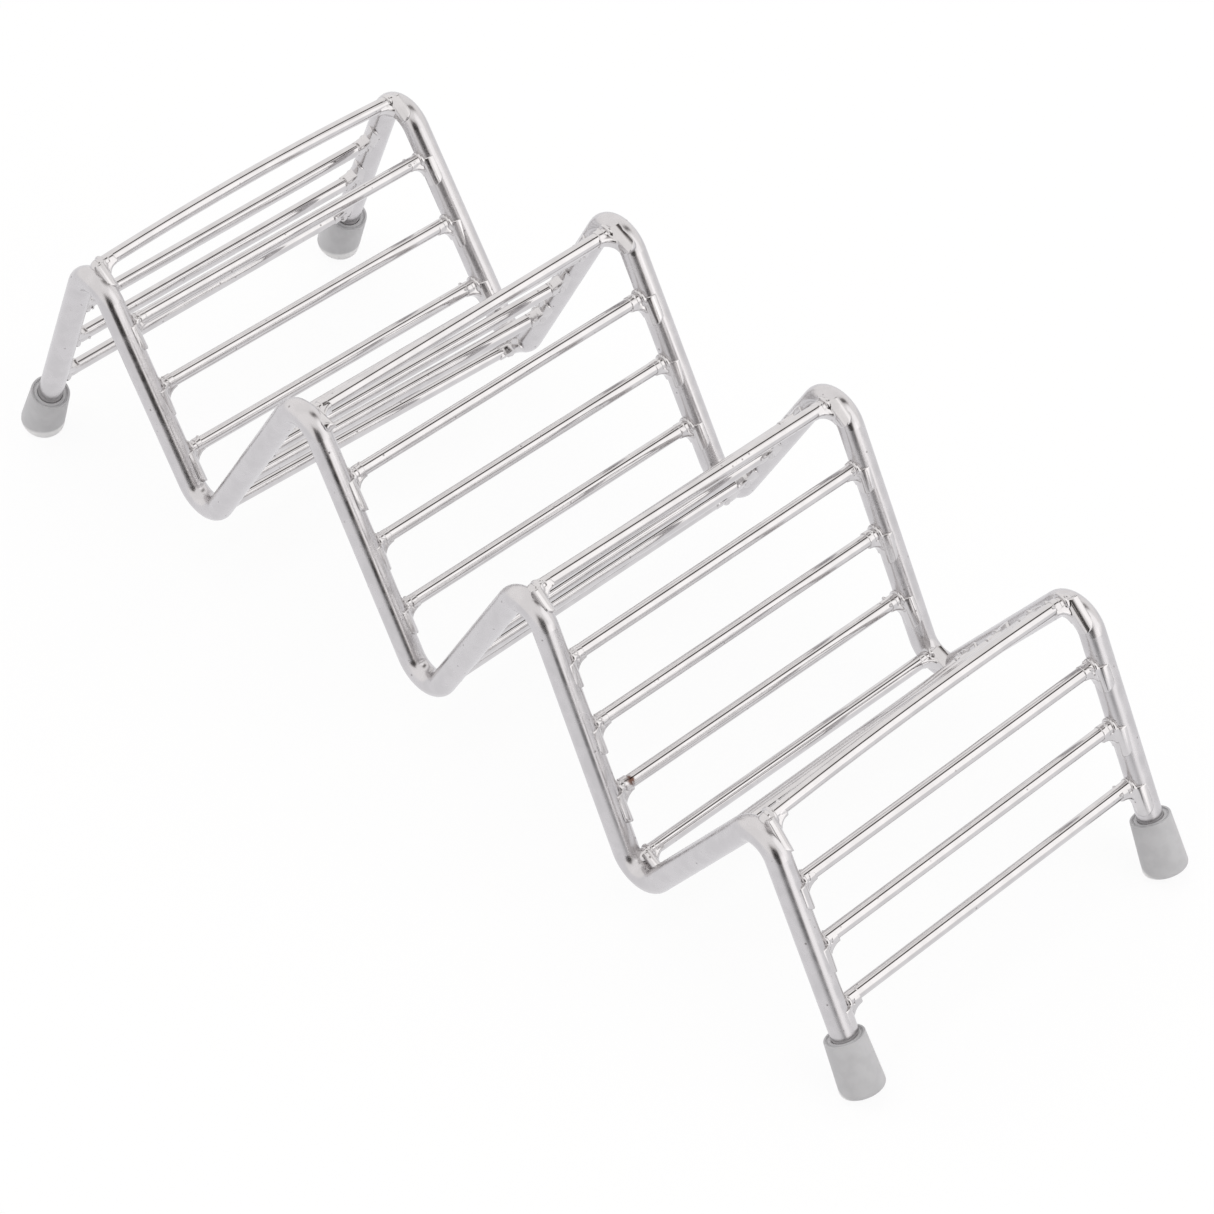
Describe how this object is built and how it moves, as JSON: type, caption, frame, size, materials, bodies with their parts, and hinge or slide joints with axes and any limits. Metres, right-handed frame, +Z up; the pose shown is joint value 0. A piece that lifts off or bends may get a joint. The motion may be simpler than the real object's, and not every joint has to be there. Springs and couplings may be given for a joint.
{
  "type": "taco holder",
  "caption": "Polished wire rack that holds tacos upright: zigzag side rods joined by welded cross bars, standing on grey rubber caps.",
  "frame": {"origin": "on the table, under the middle of the holder", "axes": "+X along the row of slots, +Y along the cross bars from the front side rod to the back one, +Z up"},
  "size_m": [0.1947, 0.0688, 0.0521],
  "materials": {
    "polished_rod": "polished stainless steel wire, glossy with a fine satin grain",
    "polished_bar": "polished stainless steel wire, glossy",
    "weld_metal": "electropolished weld metal, lumpy and bright",
    "grey_rubber": "matte translucent grey rubber"
  },
  "bodies": {
    "root": {"side_rod_front": "polished_rod", "side_rod_back": "polished_rod", "left_leg_bar_top": "polished_bar", "left_leg_bar_middle": "polished_bar", "left_leg_bar_bottom": "polished_bar", "slot_1_left_bar_top": "polished_bar", "slot_1_left_bar_middle": "polished_bar", "slot_1_left_bar_bottom": "polished_bar", "slot_1_right_bar_top": "polished_bar", "slot_1_right_bar_middle": "polished_bar", "slot_1_right_bar_bottom": "polished_bar", "slot_2_left_bar_top": "polished_bar", "slot_2_left_bar_middle": "polished_bar", "slot_2_left_bar_bottom": "polished_bar", "slot_2_right_bar_top": "polished_bar", "slot_2_right_bar_middle": "polished_bar", "slot_2_right_bar_bottom": "polished_bar", "slot_3_left_bar_top": "polished_bar", "slot_3_left_bar_middle": "polished_bar", "slot_3_left_bar_bottom": "polished_bar", "slot_3_right_bar_top": "polished_bar", "slot_3_right_bar_middle": "polished_bar", "slot_3_right_bar_bottom": "polished_bar", "right_leg_bar_top": "polished_bar", "right_leg_bar_middle": "polished_bar", "right_leg_bar_bottom": "polished_bar", "peak_bar_1": "polished_bar", "peak_bar_2": "polished_bar", "peak_bar_3": "polished_bar", "peak_bar_4": "polished_bar", "valley_bar_1": "polished_bar", "valley_bar_2": "polished_bar", "valley_bar_3": "polished_bar", "weld_fillets_front": "weld_metal", "weld_fillets_back": "weld_metal", "foot_front_left": "grey_rubber", "foot_front_right": "grey_rubber", "foot_back_left": "grey_rubber", "foot_back_right": "grey_rubber"}
  },
  "joints": []
}
